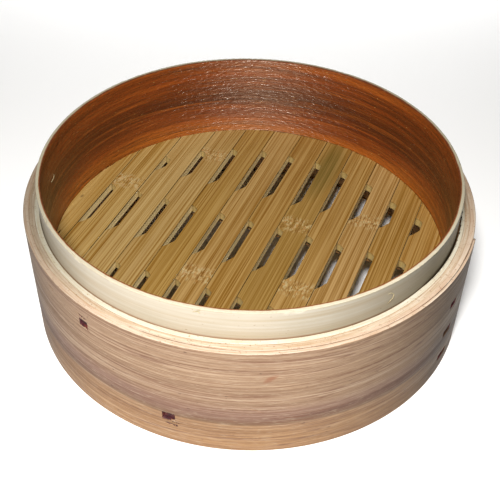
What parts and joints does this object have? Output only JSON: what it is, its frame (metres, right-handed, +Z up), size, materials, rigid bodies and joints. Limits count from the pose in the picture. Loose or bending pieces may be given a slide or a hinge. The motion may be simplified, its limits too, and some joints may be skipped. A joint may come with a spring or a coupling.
{
  "type": "bamboo steamer basket",
  "caption": "Round bamboo steamer tier with a slotted slat floor, a laminated bent-strip wall and a raised collar that the next tier or lid seats over.",
  "frame": {"origin": "centre of the round footprint, on the surface that the tier stands on", "axes": "+Z up through the collar, +Y along the floor slats, +X along the battens under them"},
  "size_m": [0.2552, 0.2541, 0.0915],
  "materials": {
    "hoop_fir": "planed fir strip with fine horizontal grain, satin",
    "core_strip": "rough sawn edge of bamboo pith, matt",
    "liner_strip": "pale bamboo strip, satin",
    "collar_strip": "ivory shaved bamboo outside, glossy red-brown skin inside",
    "floor_bamboo": "split bamboo slat with fibres and knuckles, satin",
    "batten_bamboo": "split bamboo, matt",
    "peg_bamboo": "dark heat-treated bamboo end grain, matt"
  },
  "bodies": {
    "root": {"outer_hoop": "hoop_fir", "core_hoop": "core_strip", "liner_hoop": "liner_strip", "inner_hoop": "collar_strip", "slat_01": "floor_bamboo", "slat_02": "floor_bamboo", "slat_03": "floor_bamboo", "slat_04": "floor_bamboo", "slat_05": "floor_bamboo", "slat_06": "floor_bamboo", "slat_07": "floor_bamboo", "slat_08": "floor_bamboo", "slat_09": "floor_bamboo", "slat_10": "floor_bamboo", "slat_11": "floor_bamboo", "slat_12": "floor_bamboo", "slat_13": "floor_bamboo", "batten_near": "batten_bamboo", "batten_far": "batten_bamboo", "batten_pins": "peg_bamboo", "lap_pegs": "peg_bamboo", "upper_pegs": "peg_bamboo", "lower_pegs": "peg_bamboo"}
  },
  "joints": []
}
